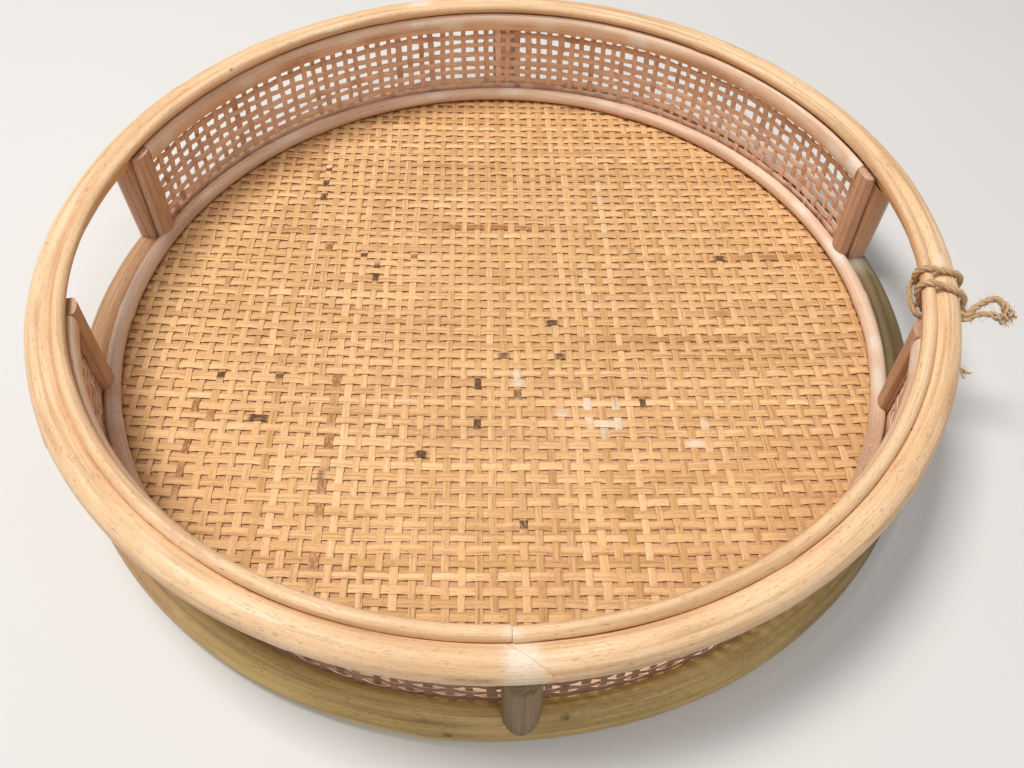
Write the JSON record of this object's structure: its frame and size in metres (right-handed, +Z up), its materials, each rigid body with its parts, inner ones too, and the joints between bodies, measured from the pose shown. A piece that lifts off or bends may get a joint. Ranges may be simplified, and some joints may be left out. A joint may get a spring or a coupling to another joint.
{
  "type": "rattan gallery tray",
  "caption": "Round serving tray with a woven-cane floor, two bent rattan hoops, a low woven-cane wall front and rear, and open hand holds left and right.",
  "frame": {"origin": "on the resting plane, under the centre of the hoops", "axes": "+Z up; the front of the tray faces -Y; the hand holds are at +X and -X"},
  "size_m": [0.412, 0.412, 0.0763],
  "materials": {
    "rattan_rim": "peeled and sanded, cream, satin",
    "rattan_inner": "peeled, pinkish tan, matt",
    "rattan_base": "peeled, yellow olive, satin",
    "rattan_post": "peeled, grey brown, matt",
    "cane_floor": "woven core cane, golden tan, matt",
    "cane_wall": "woven core cane, pinkish brown, matt",
    "plywood": "bare veneer, matt",
    "brad_steel": "plain wire brad",
    "jute": "hairy twisted twine"
  },
  "bodies": {
    "root": {"top_rim_pole_left": "rattan_rim", "top_rim_pole_right": "rattan_rim", "top_rim_trim_cane": "rattan_rim", "inner_top_rail_front": "rattan_inner", "inner_top_rail_rear": "rattan_inner", "base_pole": "rattan_base", "base_inner_ring": "rattan_inner", "floor_web": "cane_floor", "floor_board": "plywood", "wall_web_front": "cane_wall", "wall_web_rear": "cane_wall", "corner_post_front_left": "rattan_post", "corner_post_front_right": "rattan_post", "corner_post_rear_left": "rattan_post", "corner_post_rear_right": "rattan_post", "corner_cheek_front_left": "rattan_inner", "corner_cheek_front_right": "rattan_inner", "corner_cheek_rear_left": "rattan_inner", "corner_cheek_rear_right": "rattan_inner", "centre_post_front": "rattan_post", "centre_post_rear": "rattan_post", "rail_brads": "brad_steel", "trim_brads": "brad_steel", "base_ring_brads": "brad_steel", "corner_post_brads": "brad_steel", "post_end_nails": "brad_steel", "board_edge_brads": "brad_steel", "hoop_joint_brads": "brad_steel", "jute_tie": "jute"}
  },
  "joints": []
}
